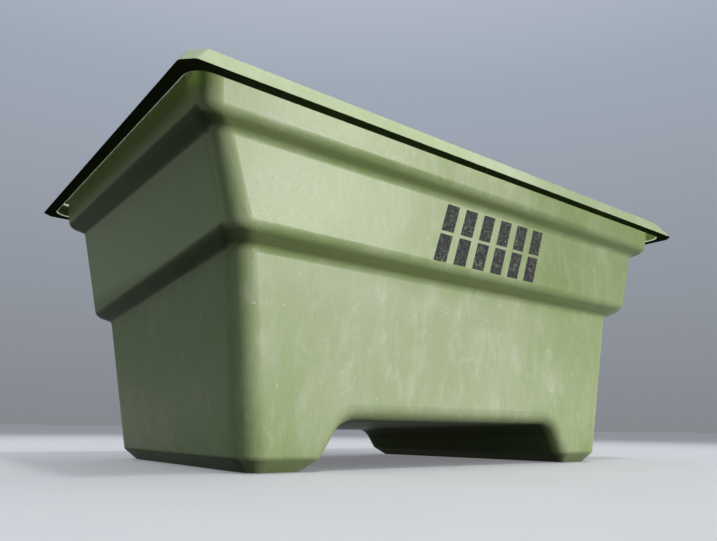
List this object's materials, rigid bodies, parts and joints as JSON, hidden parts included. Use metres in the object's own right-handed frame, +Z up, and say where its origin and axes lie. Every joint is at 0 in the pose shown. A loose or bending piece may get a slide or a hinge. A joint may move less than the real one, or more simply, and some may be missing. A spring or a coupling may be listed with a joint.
{
  "type": "forkliftable mortar mixing tub",
  "caption": "Open-topped rectangular moulded mortar tub with stepped tapering walls, overhanging lip and a fork channel between its feet.",
  "frame": {"origin": "on the ground under the middle of the rim's outline", "axes": "+X along the long side, +Z up, -Y toward the marked front wall"},
  "size_m": [1.2, 0.774, 0.538],
  "materials": {
    "moulded_green_plastic": "moulded polyethylene, chalky and scuffed",
    "rim_green_plastic": "moulded polyethylene, sun-bleached on top",
    "pale_weld_plastic": "natural welding plastic, slightly glossy",
    "worn_black_paint": "dusty worn stencil paint"
  },
  "bodies": {
    "root": {"tub_shell": "moulded_green_plastic", "rim_moulding": "rim_green_plastic", "rim_weld_bead": "pale_weld_plastic", "stencil_mark": "worn_black_paint"}
  },
  "joints": []
}
